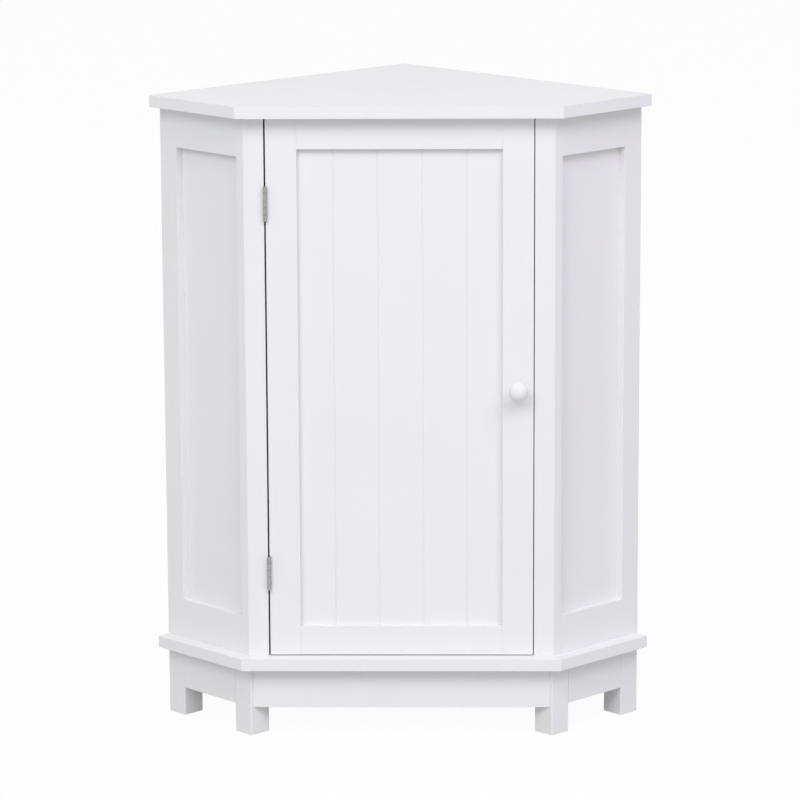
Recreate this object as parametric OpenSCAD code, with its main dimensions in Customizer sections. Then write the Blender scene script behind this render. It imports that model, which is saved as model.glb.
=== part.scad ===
// Corner bathroom cabinet: five sided top and base on five square legs, two framed short
// sides, two thin backs that meet in the room corner, one shelf and one planked door.
// X runs to the viewer's right, Y into the room corner, Z up. The origin is on the floor,
// under the middle of the closed cabinet.

/* [Overall] */
// Height from the floor to the top surface
overall_h = 800; // [700:1:950]
// Distance from the room corner to the outer edge of the top, along each wall
wall_w = 445; // [410:1:540]
// Distance from each wall to the front end of the top's short side
side_depth = 162; // [145:1:200]
// How far the top and the base stand out past the short sides
side_overhang = 19.5; // [8:0.5:28]
// How far the top and the base stand out past the door
front_overhang = 18.5; // [10:0.5:26]
// Thickness of the top board and of the base board
board_t = 15; // [13:0.5:22]

/* [Legs and aprons] */
// Height of the legs, from the floor to the base board
leg_h = 89; // [70:1:140]
// Width of each square leg
leg_w = 30.5; // [27:0.5:40]
// How far each front leg stands forward of its front post, along the short side
front_leg_step = 2.7; // [0:0.1:4]
// Height of the three aprons under the base board
apron_h = 52.5; // [35:0.5:65]
// Thickness of the aprons
apron_t = 15; // [12:0.5:18]
// How far the apron faces stand back from the faces of the frames above
apron_setback = 0.5; // [0:0.5:4]

/* [Side frames] */
// Thickness of the rear posts and of the side rails
frame_t = 18; // [16.5:0.5:20]
// Width of each rear post
rear_post_w = 30.5; // [26:0.5:40]
// Width of a front post on the short side
front_post_side_w = 12.8; // [11:0.1:20]
// Width of a front post beside the door
front_post_face_w = 24.9; // [22:0.1:36]
// Depth of a front post, from its face into the cabinet
front_post_depth = 21.8; // [20:0.1:30]
// Height of the side top rails
side_top_rail_h = 50; // [42:0.5:80]
// Height of the side bottom rails
side_bottom_rail_h = 49.5; // [42:0.5:80]
// Depth of the side panels behind the faces of their frames
side_recess = 10; // [6:0.5:10.5]
// Thickness of the side panels
side_panel_t = 5; // [3:0.5:5.5]
// Depth of the grooves that hold the side and door panels
groove_depth = 7; // [5:0.5:8]

/* [Back] */
// Thickness of the two back panels
back_t = 3; // [2.5:0.5:5]
// Width of the rebate in each rear post that takes the edge of a back panel
rebate_w = 12; // [8:0.5:13]
// How far the back panels stop short of the outer faces of the top and base boards
back_margin = 3; // [1:0.5:5]
// Width of the back corner post along each wall
corner_post_w = 26; // [24:0.5:36]
// Distance from the room corner to the front face of the back corner post
corner_post_depth = 28; // [26:0.5:32]

/* [Shelf] */
// Thickness of the shelf
shelf_t = 15; // [10:0.5:20]
// Height of the shelf's underside above the base board
shelf_rise = 333; // [200:1:420]
// Gap between the shelf and what stands around it
shelf_gap = 1.5; // [0.5:0.1:3]
// Distance between the rows of pin holes
pin_row_pitch = 50; // [32:1:64]
// Diameter of the shelf pins where they sit in their holes
pin_d = 5; // [4:0.5:6]
// Length of a shelf pin in its hole
pin_seat_l = 7; // [5:0.5:8]
// Diameter of the pin collar that carries the shelf
pin_collar_d = 7; // [6.5:0.5:9]
// Length of the pin collar
pin_collar_l = 8; // [5:0.5:10]

/* [Door] */
// Thickness of the door's stiles and rails
door_t = 18; // [17.5:0.5:19.5]
// Gap between the door and the post that it hangs on
door_hinge_gap = 1.9; // [1.8:0.1:3.5]
// Gap between the free edge of the door and its post
door_free_gap = 1; // [1:0.1:3]
// Gap above and below the door
door_end_gap = 1; // [1:0.1:4]
// Width of the door stiles
stile_w = 38.5; // [32:0.5:60]
// Height of the door's top rail
door_top_rail_h = 39; // [36:0.5:70]
// Height of the door's bottom rail
door_bottom_rail_h = 37.5; // [36:0.5:70]
// Depth of the door panel behind the face of the door
door_recess = 7; // [6:0.5:10]
// Thickness of the door panel
door_panel_t = 6; // [4:0.5:6.5]
// Width of one plank of the door panel, from groove to groove
plank_w = 54.9; // [35:0.1:80]
// Depth of the V shaped grooves between the planks
plank_groove_depth = 1.1; // [0.5:0.1:2.5]

/* [Knob] */
// Diameter of the knob's head
knob_d = 24; // [20:0.5:32]
// How far the knob stands out from the door
knob_reach = 26; // [22:0.5:34]
// Height of the knob's dome, from its widest circle to its tip
knob_dome_h = 10; // [7:0.5:12]
// Diameter of the knob's foot
knob_foot_d = 13; // [11:0.5:16]
// Diameter of the knob's neck
knob_neck_d = 10; // [8:0.5:11]
// Height of the knob above the middle of the door
knob_rise = 0; // [-150:1:150]
// Diameter of the screw that holds the knob
knob_screw_d = 4; // [3:0.5:5]
// Length of the knob screw under its head
knob_screw_l = 28; // [26:0.5:32]

/* [Hinges] */
// Height of each hinge
hinge_h = 42.5; // [36:0.5:60]
// Distance from each end of the door to the middle of its hinge
hinge_inset = 106; // [60:1:200]
// Number of knuckles of a hinge
knuckles = 5; // [3:2:7]
// Outer radius of the knuckles
knuckle_r = 2.6; // [2.4:0.1:3.2]
// Radius of the hinge pins
hinge_pin_r = 1.3; // [1:0.1:1.5]
// Thickness of the hinge leaves
leaf_t = 1.2; // [0.8:0.1:1.4]
// Width of a hinge leaf from the pin's axis
leaf_w = 19; // [14:0.5:20]

/* [Catch] */
// Distance from the free edge of the door to the middle of the magnetic catch
catch_inset = 69; // [66:1:110]
// Length of the catch body between its ears
catch_body_l = 28; // [25:0.5:34]
// Depth and height of the catch
catch_w = 13; // [12:0.5:16]
// Length of the strike plate
strike_l = 34; // [26:0.5:40]
// Height of the strike plate
strike_h = 13; // [10:0.5:14]
// Thickness of the strike plate
strike_t = 1.2; // [0.8:0.1:2]

/* [Fasteners] */
// Diameter of the wood dowels
dowel_d = 6; // [5:0.5:7]
// Length of the wood dowels
dowel_l = 24; // [18:0.5:25]
// Diameter of the cam discs
cam_d = 15; // [12:0.5:16]
// Depth of the cam discs
cam_t = 12; // [11.5:0.1:13]
// Distance from the end of a rail to the middle of a cam disc
cam_inset = 24; // [22:0.5:26]
// Length of the screws that hold the legs
leg_screw_l = 45; // [35:1:55]
// Number of nails along each post of a back panel
nails_up = 4; // [2:1:6]
// Number of nails along each board edge of a back panel
nails_across = 3; // [2:1:5]

/* [Hidden] */

// Fits and small clearances
glue_fit = 0.05;
dowel_end_gap = 0.5;
panel_fit = 0.1;
panel_edge_gap = 1;
cam_fit = 0.1;
screw_fit = 0.05;
hinge_pin_fit = 0.05;
knuckle_gap = 0.3;
knuckle_proud = 0.3;
leaf_fit = 0.1;
strike_gap = 0.3;
pin_fit = 0.05;
knob_fit = 0.05;
cut = 1;

// Colours
paint = [0.91, 0.91, 0.93];
board_back = [0.80, 0.80, 0.79];
nickel = [0.66, 0.64, 0.61];
zinc = [0.72, 0.73, 0.75];
beech = [0.80, 0.66, 0.46];
catch_white = [0.88, 0.88, 0.86];
magnet_grey = [0.23, 0.23, 0.25];

// Heights
top_under = overall_h - board_t;
base_top = leg_h + board_t;
carcass_h = top_under - base_top;

// Plan: the side frames stand square to the walls, the door face runs along X
root2 = sqrt(2);
body_wall = wall_w - side_overhang;
rear_x = body_wall / root2;
edge_reach = (wall_w + side_depth) / root2;
face_reach = edge_reach - front_overhang;
corner_y = max(edge_reach, face_reach + knob_reach) / 2;
rear_y = corner_y - rear_x;
edge_y = corner_y - edge_reach;
face_y = corner_y - face_reach;
body_side = face_reach * root2 - body_wall;
face_half = (body_wall - body_side) / root2;
opening_half = face_half - front_post_face_w;
span = 2 * wall_w;

// Side frames, measured from the wall along the short side
post_inner = body_side - front_post_side_w;
post_back_y = face_y + front_post_depth;
post_back_in = post_inner - (rear_y - post_back_y) * root2;
post_back_x = (post_inner + post_back_in) / root2 - rear_x;
side_rail_l = post_inner - rear_post_w;
side_panel_low = base_top + side_bottom_rail_h;
side_panel_high = top_under - side_top_rail_h;
side_dowel_heights = [
  base_top + 0.3 * side_bottom_rail_h, base_top + 0.7 * side_bottom_rail_h,
  top_under - 0.7 * side_top_rail_h, top_under - 0.3 * side_top_rail_h
];
cam_places = [rear_post_w + side_rail_l / 4, post_inner - side_rail_l / 4];

// Legs and aprons
leg_reach = body_side + front_leg_step;
apron_low = leg_h - apron_h;
apron_dowel_heights = [apron_low + 0.3 * apron_h, apron_low + 0.7 * apron_h];
apron_mid_y = face_y + apron_setback + apron_t / 2;
apron_end_in = leg_reach - (rear_y - apron_mid_y) * root2;
apron_end_x = (leg_reach + apron_end_in) / root2 - rear_x;
leg_screw_inset = 5.2;
leg_screw_spots = [
  [leg_w / 2, leg_w - leg_screw_inset], [leg_reach - leg_w + leg_screw_inset, leg_w - leg_screw_inset]
];

// Wood screws: head diameter, shank diameter
leg_screw = [7, 4];
hinge_screw = [6, 3.2];
small_screw = [5, 2.6];
hinge_screw_l = 14;
catch_screw_l = 13;
strike_screw_l = 12;

// Cam bolts
bolt_thread_d = 6;
bolt_thread_l = 10;
bolt_shank_d = 4.5;
bolt_head_d = 6.4;
bolt_hole_d = 7;
cam_slot_l = 8;

// Back
corner_post_in = body_wall - back_t - corner_post_w;
corner_post_y = corner_y - corner_post_depth;
nail_l = 13;
nail_d = 1.4;
nail_head_d = 3.4;
nail_head_t = 0.5;
nail_end = 45;

// Shelf and its pins
shelf_z = base_top + shelf_rise;
pin_z = shelf_z - pin_collar_d / 2;
pin_rows = [-pin_row_pitch, 0, pin_row_pitch];
shelf_front_y = post_back_y + shelf_gap;
shelf_back_y = corner_post_y - shelf_gap;
front_pin_x = (post_back_x - opening_half) / 2;
rear_pin_out = 0.6 * rear_post_w;
front_dowel_x = opening_half + front_post_face_w / 3;

// Door
door_left = -opening_half + door_hinge_gap;
door_right = opening_half - door_free_gap;
door_mid = (door_left + door_right) / 2;
door_low = base_top + door_end_gap;
door_high = top_under - door_end_gap;
door_h = door_high - door_low;
door_back_y = face_y + door_t;
panel_half = (door_right - door_left) / 2 - stile_w;
panel_low = door_low + door_bottom_rail_h;
panel_high = door_high - door_top_rail_h;
door_dowel_heights = [
  door_low + 0.3 * door_bottom_rail_h, door_low + 0.7 * door_bottom_rail_h,
  door_high - 0.7 * door_top_rail_h, door_high - 0.3 * door_top_rail_h
];
knob_x = door_right - stile_w / 2;
knob_z = (door_low + door_high) / 2 + knob_rise;
knob_tap_l = 12;
knob_under_h = 7;
knob_mid = knob_reach - knob_dome_h;
knob_neck_low = 3;
knob_neck_high = knob_mid - knob_under_h;
knob_screw_head = [8, 2.4];

// Hinges
leaf_space = door_hinge_gap - leaf_t;
hinge_x = door_left - leaf_space / 2;
hinge_y = face_y - knuckle_r - knuckle_proud;
plate_start = knuckle_r + knuckle_proud + leaf_fit;
knuckle_h = (hinge_h - (knuckles - 1) * knuckle_gap) / knuckles;
hinge_heights = [door_high - hinge_inset, door_low + hinge_inset];
hinge_screw_rise = 0.3 * hinge_h;
hinge_screw_y = (plate_start + leaf_w) / 2;
pin_head_h = 0.8;

// Catch
catch_x = door_right - catch_inset;
pole_y = door_back_y + strike_t + strike_gap;
pole_proud = 0.8;
catch_y = pole_y + pole_proud;
ear_l = 9;
ear_t = 3;
magnet_size = [22, 9, 5];
pole_t = 1.2;
catch_fit = 0.1;
catch_mid_z = top_under - catch_w / 2;
strike_z = door_high - strike_h / 2 - 0.5;

function spread(low, high, count) =
  [for (i = [0 : count - 1]) low + (high - low) * i / (count - 1)];

// Left side axes: X runs out from the left wall, Y runs in from the frame's outer face
module left_side() {
  translate([-rear_x, rear_y, 0]) rotate([0, 0, -45]) children();
}

module right_side() {
  mirror([1, 0, 0]) left_side() children();
}

module both_sides() {
  left_side() children();
  right_side() children();
}

// Five sided board with its underside at height z
module corner_board(z) {
  intersection() {
    left_side() translate([back_t, -side_overhang, z]) cube([span, span, board_t]);
    right_side() translate([back_t, -side_overhang, z]) cube([span, span, board_t]);
    translate([-wall_w, edge_y, z]) cube([span, span, board_t]);
  }
}

// Wood screw along -Z with its flat head level with the XY plane
module wood_screw(size, length, grow = 0) {
  head_h = (size[0] - size[1]) / 2;
  translate([0, 0, -length - grow]) cylinder(d = size[1] + 2 * grow, h = length + grow, $fn = 24);
  translate([0, 0, -head_h]) {
    cylinder(d1 = size[1] + 2 * grow, d2 = size[0] + 2 * grow, h = head_h, $fn = 32);
  }
}

// Hole for a wood screw, open above its head
module screw_hole(size, length) {
  wood_screw(size, length, screw_fit);
  cylinder(d = size[0] + 2 * screw_fit, h = cut, $fn = 32);
}

// Crossed driver slots, cut into the XY plane
module cross_slot(slot_l) {
  slot_w = slot_l / 4;
  for (turn = [0, 90]) {
    rotate([0, 0, turn]) cube([slot_l, slot_w, 2 * slot_w], center = true);
  }
}

module driven_screw(size, length) {
  difference() {
    wood_screw(size, length);
    cross_slot(size[0] / 2);
  }
}

module dowel() {
  cylinder(d = dowel_d, h = dowel_l, center = true, $fn = 32);
}

module dowel_hole() {
  cylinder(d = dowel_d + 2 * glue_fit, h = dowel_l + 2 * dowel_end_gap, center = true, $fn = 32);
}

// Places of the dowels between the rails and posts of one side frame
module side_dowel_places() {
  for (out = [rear_post_w, post_inner]) {
    for (z = side_dowel_heights) {
      translate([out, frame_t / 2, z]) rotate([0, 90, 0]) children();
    }
  }
}

// Places of the dowels that join the four outer posts to a board's face at height z
module post_dowel_places(z) {
  both_sides() translate([rear_post_w / 3, frame_t / 2, z]) children();
  for (side = [-1, 1]) {
    translate([side * front_dowel_x, face_y + front_post_depth / 2, z]) children();
  }
}

// Middle of the back corner post, at height z
module corner_post_middle(z) {
  deep = corner_post_in + corner_post_w / 2;
  left_side() translate([back_t + corner_post_w / 2, deep, z]) children();
}

// Long dowel through the base board, from the back corner leg up into its post
module corner_dowel(grow = 0, end_gap = 0) {
  long = dowel_l + board_t + 2 * end_gap;
  corner_post_middle(leg_h + board_t / 2) {
    cylinder(d = dowel_d + 2 * grow, h = long, center = true, $fn = 32);
  }
}

module corner_dowel_hole() {
  corner_dowel(glue_fit, dowel_end_gap);
}

// Places of the dowels between one side apron and its legs
module side_apron_dowel_places() {
  for (out = [leg_w, leg_reach - leg_w]) {
    for (z = apron_dowel_heights) {
      translate([out, apron_setback + apron_t / 2, z]) rotate([0, 90, 0]) children();
    }
  }
}

// Places of the dowels between the front apron and the front legs
module front_apron_dowel_places() {
  for (side = [-1, 1]) {
    for (z = apron_dowel_heights) {
      translate([side * apron_end_x, apron_mid_y, z]) rotate([0, 90, 0]) children();
    }
  }
}

module leg_screw_places() {
  both_sides() {
    for (spot = leg_screw_spots) translate([spot[0], spot[1], base_top]) children();
  }
}

module leg_screw_holes() {
  leg_screw_places() screw_hole(leg_screw, leg_screw_l);
}

// Cam bolt: its thread stands up in a board, its head hangs in the cam of a rail
module cam_bolt() {
  cylinder(d = bolt_thread_d, h = bolt_thread_l, $fn = 32);
  translate([0, 0, -cam_inset]) {
    cylinder(d = bolt_shank_d, h = cam_inset, $fn = 32);
    cylinder(d = bolt_head_d, h = bolt_head_d, center = true, $fn = 32);
  }
}

module bolt_thread_hole() {
  translate([0, 0, -cut]) {
    cylinder(d = bolt_thread_d + 2 * screw_fit, h = bolt_thread_l + screw_fit + cut, $fn = 32);
  }
}

// Cam disc, level with the inner face of its rail and open towards the bolt
module cam_disc() {
  translate([0, 0, -cam_inset]) rotate([90, 0, 0]) {
    difference() {
      translate([0, 0, -frame_t / 2]) cylinder(d = cam_d - 2 * cam_fit, h = cam_t, $fn = 48);
      translate([0, 0, -frame_t / 2]) cross_slot(cam_slot_l);
      translate([0, -bolt_head_d / 2 - cam_fit, 0]) rotate([-90, 0, 0]) {
        cylinder(d = bolt_hole_d, h = cam_d, $fn = 32);
      }
    }
  }
}

// Bore for a cam disc, with the channel of its bolt
module cam_hole() {
  head_room = bolt_head_d / 2 + cam_fit;
  translate([0, 0, -cam_inset]) {
    translate([0, 0, -head_room]) cylinder(d = bolt_hole_d, h = cam_inset + head_room + cut, $fn = 32);
    translate([0, frame_t / 2 + cut, 0]) rotate([90, 0, 0]) {
      cylinder(d = cam_d, h = cam_t + cam_fit + cut, $fn = 48);
    }
  }
}

// Cam joints of one side frame, at the top board and, turned over, at the base board
module top_cam_places() {
  for (out = cam_places) translate([out, frame_t / 2, top_under]) children();
}

module base_cam_places() {
  for (out = cam_places) translate([out, frame_t / 2, base_top]) mirror([0, 0, 1]) children();
}

// Wire nail along -Z with its head level with the XY plane
module nail(grow = 0) {
  translate([0, 0, -nail_l - grow]) cylinder(d = nail_d + 2 * grow, h = nail_l + grow, $fn = 16);
  translate([0, 0, -nail_head_t - grow]) {
    cylinder(d = nail_head_d + 2 * grow, h = nail_head_t + grow, $fn = 24);
  }
}

module nail_hole() {
  nail(screw_fit);
  cylinder(d = nail_head_d + 2 * screw_fit, h = cut, $fn = 24);
}

// Places of the nails of one back panel, driven from the wall side
module nail_places() {
  for (deep = [frame_t - rebate_w / 2, corner_post_in + corner_post_w / 2]) {
    for (z = spread(base_top + nail_end, top_under - nail_end, nails_up)) {
      translate([0, deep, z]) rotate([0, -90, 0]) children();
    }
  }
  for (deep = spread(frame_t + nail_end, corner_post_in - nail_end, nails_across)) {
    for (z = [leg_h + board_t / 2, top_under + board_t / 2]) {
      translate([0, deep, z]) rotate([0, -90, 0]) children();
    }
  }
}

module nail_holes() {
  both_sides() nail_places() nail_hole();
}

// Shelf pin along +Z: it sits in its hole below the XY plane, its collar stands above
module shelf_pin() {
  translate([0, 0, -pin_seat_l]) cylinder(d = pin_d, h = pin_seat_l, $fn = 32);
  cylinder(d = pin_collar_d, h = pin_collar_l, $fn = 32);
}

module shelf_pin_hole() {
  hole_l = pin_seat_l + dowel_end_gap;
  translate([0, 0, -hole_l]) cylinder(d = pin_d + 2 * pin_fit, h = hole_l + cut, $fn = 32);
}

// Places of the five shelf pins at height z
module pin_places(z) {
  both_sides() translate([rear_pin_out, frame_t, z]) rotate([-90, 0, 0]) children();
  for (side = [-1, 1]) {
    translate([side * front_pin_x, post_back_y, z]) rotate([-90, 0, 0]) children();
  }
  translate([0, corner_post_y, z]) rotate([90, 0, 0]) children();
}

module shelf_pin_holes() {
  for (row = pin_rows) pin_places(pin_z + row) shelf_pin_hole();
}

// Room for a side panel and the groove around it
module side_groove() {
  translate([rear_post_w - groove_depth, side_recess - panel_fit, side_panel_low - groove_depth]) {
    cube([
      side_rail_l + 2 * groove_depth, side_panel_t + 2 * panel_fit,
      side_panel_high - side_panel_low + 2 * groove_depth
    ]);
  }
}

// One rear post, on the left
module rear_post() {
  difference() {
    left_side() difference() {
      translate([0, 0, base_top]) cube([rear_post_w, frame_t, carcass_h]);
      translate([-cut, frame_t - rebate_w, base_top - cut]) {
        cube([back_t + cut, rebate_w + cut, carcass_h + 2 * cut]);
      }
      side_groove();
      side_dowel_places() dowel_hole();
    }
    for (z = [base_top, top_under]) post_dowel_places(z) dowel_hole();
    shelf_pin_holes();
    nail_holes();
  }
}

// One front post, on the left: one face lies in the short side, the other beside the door
module front_post() {
  reach = front_post_face_w + front_post_depth;
  difference() {
    intersection() {
      left_side() translate([post_inner, 0, base_top]) cube([span, span, carcass_h]);
      translate([-opening_half - reach, face_y, base_top]) cube([reach, front_post_depth, carcass_h]);
    }
    left_side() side_groove();
    left_side() side_dowel_places() dowel_hole();
    for (z = [base_top, top_under]) post_dowel_places(z) dowel_hole();
    shelf_pin_holes();
  }
}

// One side rail, on the left, from height low up to height high
module side_rail(low, high) {
  left_side() difference() {
    translate([rear_post_w, 0, low]) cube([side_rail_l, frame_t, high - low]);
    side_groove();
    side_dowel_places() dowel_hole();
    top_cam_places() cam_hole();
    base_cam_places() cam_hole();
  }
}

module side_panel() {
  tongue = groove_depth - panel_edge_gap;
  left_side() translate([rear_post_w - tongue, side_recess, side_panel_low - tongue]) {
    cube([
      side_rail_l + 2 * tongue, side_panel_t, side_panel_high - side_panel_low + 2 * tongue
    ]);
  }
}

// One back panel, on the left, that ends at distance far along the wall
module back_panel(far) {
  low = leg_h + back_margin;
  high = overall_h - back_margin;
  left_side() difference() {
    translate([0, frame_t - rebate_w, low]) cube([back_t, far - frame_t + rebate_w, high - low]);
    nail_places() nail_hole();
  }
}

// One leg on the left, that starts at distance out from the wall and deep from the side
module leg(out, deep) {
  difference() {
    left_side() translate([out, deep, 0]) cube([leg_w, leg_w, leg_h]);
    leg_screw_holes();
    left_side() side_apron_dowel_places() dowel_hole();
    front_apron_dowel_places() dowel_hole();
    corner_dowel_hole();
  }
}

module side_apron() {
  left_side() difference() {
    translate([leg_w, apron_setback, apron_low]) cube([leg_reach - 2 * leg_w, apron_t, apron_h]);
    side_apron_dowel_places() dowel_hole();
  }
}

// Hinge leaf about its pin: side is -1 for the frame leaf, 1 for the door leaf
module hinge_leaf(side, first) {
  plate_x = side > 0 ? leaf_space / 2 : -leaf_space / 2 - leaf_t;
  difference() {
    union() {
      translate([plate_x, plate_start, -hinge_h / 2]) cube([leaf_t, leaf_w - plate_start, hinge_h]);
      for (i = [first : 2 : knuckles - 1]) {
        translate([0, 0, i * (knuckle_h + knuckle_gap) - hinge_h / 2]) {
          cylinder(r = knuckle_r, h = knuckle_h, $fn = 48);
          translate([plate_x, 0, 0]) cube([leaf_t, plate_start, knuckle_h]);
        }
      }
    }
    cylinder(r = hinge_pin_r + hinge_pin_fit, h = hinge_h + 2 * cut, center = true, $fn = 48);
    hinge_screw_places(side) screw_hole(hinge_screw, hinge_screw_l);
  }
}

// Places of the two screws of a hinge leaf, about the hinge's pin
module hinge_screw_places(side) {
  for (rise = [-hinge_screw_rise, hinge_screw_rise]) {
    translate([side * leaf_space / 2, hinge_screw_y, rise]) rotate([0, -side * 90, 0]) children();
  }
}

// Hinge pin with a small head that rests on the top knuckle
module hinge_pin() {
  translate([0, 0, -hinge_h / 2]) cylinder(r = hinge_pin_r, h = hinge_h, $fn = 48);
  translate([0, 0, hinge_h / 2]) cylinder(r = (knuckle_r + hinge_pin_r) / 2, h = pin_head_h, $fn = 48);
}

module at_hinge(z) {
  translate([hinge_x, hinge_y, z]) children();
}

module frame_hinge_screw_holes() {
  for (z = hinge_heights) at_hinge(z) hinge_screw_places(-1) screw_hole(hinge_screw, hinge_screw_l);
}

module door_hinge_screw_holes() {
  for (z = hinge_heights) at_hinge(z) hinge_screw_places(1) screw_hole(hinge_screw, hinge_screw_l);
}

// Shallow seats of the door leaves in the edge of the door
module hinge_seats() {
  for (z = hinge_heights) {
    translate([door_left - cut, face_y - cut, z - hinge_h / 2 - leaf_fit]) {
      cube([leaf_t + cut, hinge_y + leaf_w + leaf_fit - face_y + cut, hinge_h + 2 * leaf_fit]);
    }
  }
}

// Room for the door panel and the groove around it
module door_groove() {
  translate([
    door_mid - panel_half - groove_depth, face_y + door_recess - panel_fit, panel_low - groove_depth
  ]) {
    cube([
      2 * (panel_half + groove_depth), door_panel_t + 2 * panel_fit,
      panel_high - panel_low + 2 * groove_depth
    ]);
  }
}

module door_dowel_places() {
  for (side = [-1, 1]) {
    for (z = door_dowel_heights) {
      translate([door_mid + side * panel_half, face_y + door_t / 2, z]) rotate([0, 90, 0]) children();
    }
  }
}

// Door stile that starts at x
module stile(x) {
  difference() {
    translate([x, face_y, door_low]) cube([stile_w, door_t, door_h]);
    door_groove();
    door_dowel_places() dowel_hole();
  }
}

// Door rail from height low up to height high
module door_rail(low, high) {
  difference() {
    translate([door_mid - panel_half, face_y, low]) cube([2 * panel_half, door_t, high - low]);
    door_groove();
    door_dowel_places() dowel_hole();
    strike_screw_place() screw_hole(small_screw, strike_screw_l);
  }
}

module strike_screw_place() {
  translate([catch_x, door_back_y + strike_t, strike_z]) rotate([-90, 0, 0]) children();
}

module knob_screw_place() {
  translate([knob_x, door_back_y, knob_z]) rotate([-90, 0, 0]) children();
}

module catch_screw_places() {
  for (side = [-1, 1]) {
    translate([catch_x + side * (catch_body_l + ear_l) / 2, catch_y + catch_w / 2, top_under - ear_t]) {
      mirror([0, 0, 1]) children();
    }
  }
}

module catch_screw_holes() {
  catch_screw_places() screw_hole(small_screw, catch_screw_l);
}

// Holes of both boards for the joints to the posts and backs
module board_holes(z) {
  post_dowel_places(z) dowel_hole();
  nail_holes();
}

module top_panel() {
  color(paint) difference() {
    corner_board(top_under);
    board_holes(top_under);
    corner_post_middle(top_under) dowel_hole();
    both_sides() top_cam_places() bolt_thread_hole();
    catch_screw_holes();
  }
}

module base_board() {
  color(paint) difference() {
    corner_board(leg_h);
    board_holes(base_top);
    corner_dowel_hole();
    both_sides() base_cam_places() bolt_thread_hole();
    leg_screw_holes();
  }
}

module left_rear_post() {
  color(paint) rear_post();
}

module right_rear_post() {
  color(paint) mirror([1, 0, 0]) rear_post();
}

module left_front_post() {
  color(paint) difference() {
    front_post();
    frame_hinge_screw_holes();
  }
}

module right_front_post() {
  color(paint) mirror([1, 0, 0]) front_post();
}

module left_top_rail() {
  color(paint) side_rail(side_panel_high, top_under);
}

module right_top_rail() {
  color(paint) mirror([1, 0, 0]) side_rail(side_panel_high, top_under);
}

module left_bottom_rail() {
  color(paint) side_rail(base_top, side_panel_low);
}

module right_bottom_rail() {
  color(paint) mirror([1, 0, 0]) side_rail(base_top, side_panel_low);
}

module left_side_panel() {
  color(paint) side_panel();
}

module right_side_panel() {
  color(paint) mirror([1, 0, 0]) side_panel();
}

// The left back runs right into the room corner and the right back stops against it
module left_back_panel() {
  color(board_back) back_panel(body_wall);
}

module right_back_panel() {
  color(board_back) mirror([1, 0, 0]) back_panel(body_wall - back_t);
}

module back_corner_post() {
  color(paint) difference() {
    intersection() {
      left_side() translate([back_t, corner_post_in, base_top]) {
        cube([corner_post_w, corner_post_w, carcass_h]);
      }
      translate([-wall_w, corner_post_y, base_top]) cube([span, span, carcass_h]);
    }
    corner_post_middle(top_under) dowel_hole();
    corner_dowel_hole();
    shelf_pin_holes();
    nail_holes();
  }
}

module shelf() {
  inset = frame_t + shelf_gap;
  color(paint) intersection() {
    left_side() translate([back_t + shelf_gap, inset, shelf_z]) cube([span, span, shelf_t]);
    right_side() translate([back_t + shelf_gap, inset, shelf_z]) cube([span, span, shelf_t]);
    translate([-wall_w, shelf_front_y, shelf_z]) cube([span, shelf_back_y - shelf_front_y, shelf_t]);
  }
}

module shelf_pins() {
  color(nickel) pin_places(pin_z) shelf_pin();
}

module front_left_leg() {
  color(paint) leg(leg_reach - leg_w, 0);
}

module front_right_leg() {
  color(paint) mirror([1, 0, 0]) leg(leg_reach - leg_w, 0);
}

module rear_left_leg() {
  color(paint) leg(0, 0);
}

module rear_right_leg() {
  color(paint) mirror([1, 0, 0]) leg(0, 0);
}

module back_corner_leg() {
  color(paint) leg(0, body_wall - leg_w);
}

module front_apron() {
  color(paint) difference() {
    intersection() {
      translate([-wall_w, face_y + apron_setback, apron_low]) cube([span, apron_t, apron_h]);
      left_side() translate([leg_reach, -wall_w, apron_low]) cube([span, span, apron_h]);
      right_side() translate([leg_reach, -wall_w, apron_low]) cube([span, span, apron_h]);
    }
    front_apron_dowel_places() dowel_hole();
  }
}

module left_apron() {
  color(paint) side_apron();
}

module right_apron() {
  color(paint) mirror([1, 0, 0]) side_apron();
}

module cam_bolts() {
  color(zinc) both_sides() {
    top_cam_places() cam_bolt();
    base_cam_places() cam_bolt();
  }
}

module cam_discs() {
  color(zinc) both_sides() {
    top_cam_places() cam_disc();
    base_cam_places() cam_disc();
  }
}

module side_frame_dowels() {
  color(beech) both_sides() side_dowel_places() dowel();
}

module carcass_dowels() {
  color(beech) {
    for (z = [base_top, top_under]) post_dowel_places(z) dowel();
    corner_post_middle(top_under) dowel();
    corner_dowel();
  }
}

module apron_dowels() {
  color(beech) {
    both_sides() side_apron_dowel_places() dowel();
    front_apron_dowel_places() dowel();
  }
}

module leg_screws() {
  color(zinc) leg_screw_places() driven_screw(leg_screw, leg_screw_l);
}

module back_nails() {
  color(zinc) both_sides() nail_places() nail();
}

module catch_case() {
  stack_w = magnet_size[0] + 2 * catch_fit;
  stack_h = magnet_size[2] + 2 * (pole_t + catch_fit);
  color(catch_white) difference() {
    union() {
      translate([catch_x - catch_body_l / 2, catch_y, top_under - catch_w]) {
        cube([catch_body_l, catch_w, catch_w]);
      }
      translate([catch_x - catch_body_l / 2 - ear_l, catch_y, top_under - ear_t]) {
        cube([catch_body_l + 2 * ear_l, catch_w, ear_t]);
      }
    }
    translate([catch_x - stack_w / 2, catch_y - cut, catch_mid_z - stack_h / 2]) {
      cube([stack_w, magnet_size[1] + catch_fit + cut, stack_h]);
    }
    catch_screw_holes();
  }
}

module catch_magnet() {
  color(magnet_grey) translate([
    catch_x - magnet_size[0] / 2, catch_y, catch_mid_z - magnet_size[2] / 2
  ]) cube(magnet_size);
}

// Two steel plates, above and below the magnet, that reach out to the strike plate
module catch_poles() {
  color(zinc) for (z = [-magnet_size[2] / 2 - pole_t, magnet_size[2] / 2]) {
    translate([catch_x - magnet_size[0] / 2, pole_y, catch_mid_z + z]) {
      cube([magnet_size[0], magnet_size[1] + pole_proud, pole_t]);
    }
  }
}

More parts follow.
